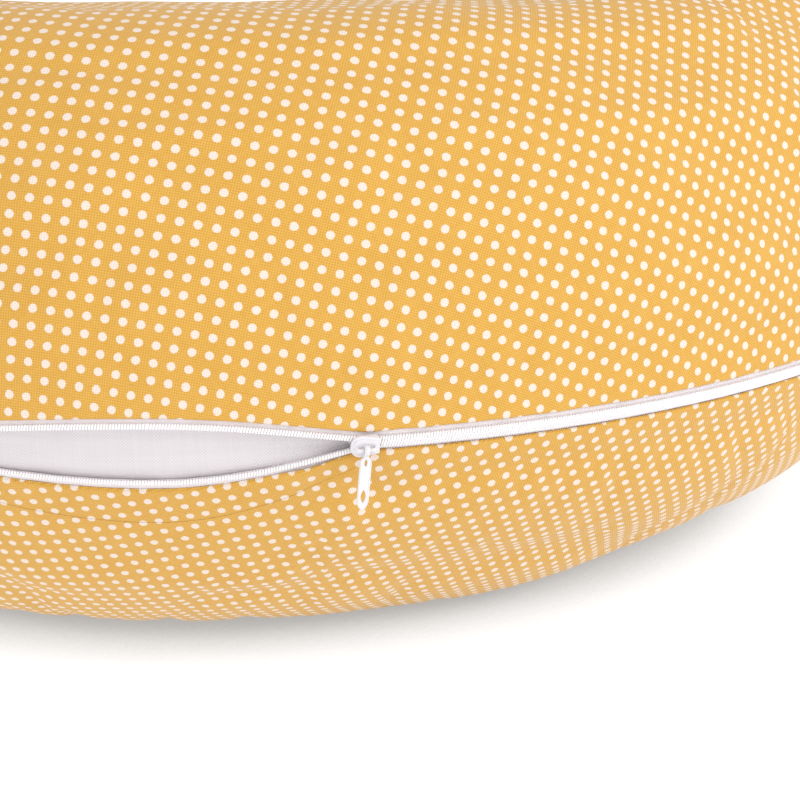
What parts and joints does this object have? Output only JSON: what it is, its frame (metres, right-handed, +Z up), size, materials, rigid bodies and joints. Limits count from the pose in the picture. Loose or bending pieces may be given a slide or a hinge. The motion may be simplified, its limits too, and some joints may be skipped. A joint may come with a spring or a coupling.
{
  "type": "nursing pillow",
  "caption": "C-shaped nursing pillow: a zipped, dotted cotton cover over a padded inner cushion, its outer-seam zip partly open.",
  "frame": {"origin": "on the ground, below the middle of the pillow's bounding box, so the rest plane is z = 0", "axes": "+Z up, -Y towards the front of the C where the zip is, +X to the right seen from the front"},
  "size_m": [0.5795, 0.4806, 0.1995],
  "materials": {
    "cotton": "matte",
    "ticking": "matte",
    "wadding": "matte",
    "zip_tape": "matte",
    "zip_coil": "satin",
    "enamel": "gloss"
  },
  "bodies": {
    "root": {"cover_top_panel": "cotton", "cover_bottom_panel": "cotton", "liner_top_panel": "ticking", "liner_bottom_panel": "ticking", "fibre_filling": "wadding", "upper_tape_closed": "zip_tape", "lower_tape_closed": "zip_tape", "upper_coil_closed": "zip_coil", "lower_coil_closed": "zip_coil", "start_bartack": "zip_coil", "end_bartack": "zip_coil"},
    "upper_lip": {"upper_tape_open": "zip_tape", "upper_coil_open": "zip_coil"},
    "lower_lip": {"lower_tape_open": "zip_tape", "lower_coil_open": "zip_coil"},
    "zip_slider": {"slider_body": "enamel"},
    "zip_pull": {"pull_tab": "enamel"}
  },
  "joints": [
    {"name": "zip_travel", "type": "hinge", "parent": "root", "child": "zip_slider", "pos_m": [0, 0.04983, 0.092], "axis": [0, 0, 1], "range_deg": [-34.1, 30.9], "deforming": ["upper_coil_closed", "lower_coil_closed"]},
    {"name": "pull_swing", "type": "hinge", "parent": "zip_slider", "child": "zip_pull", "pos_m": [0.05902, -0.2377, 0.09128], "axis": [-0.9796, -0.2011, 0], "range_deg": [-22, 170]},
    {"name": "upper_lip_spread", "type": "slide", "parent": "root", "child": "upper_lip", "axis": [0, 0.0872, 0.9962], "range_m": [-0.006, 0.0055], "deforming": ["upper_tape_open", "upper_coil_open"]},
    {"name": "lower_lip_spread", "type": "slide", "parent": "root", "child": "lower_lip", "axis": [0, 0.4848, -0.8746], "range_m": [-0.0118, 0.0107], "deforming": ["lower_tape_open", "lower_coil_open"]}
  ],
  "couplings": [
    {"joint": "upper_lip_spread", "follows": "zip_travel", "m_per_rad": 0.009913},
    {"joint": "lower_lip_spread", "follows": "zip_travel", "m_per_rad": 0.019491}
  ]
}
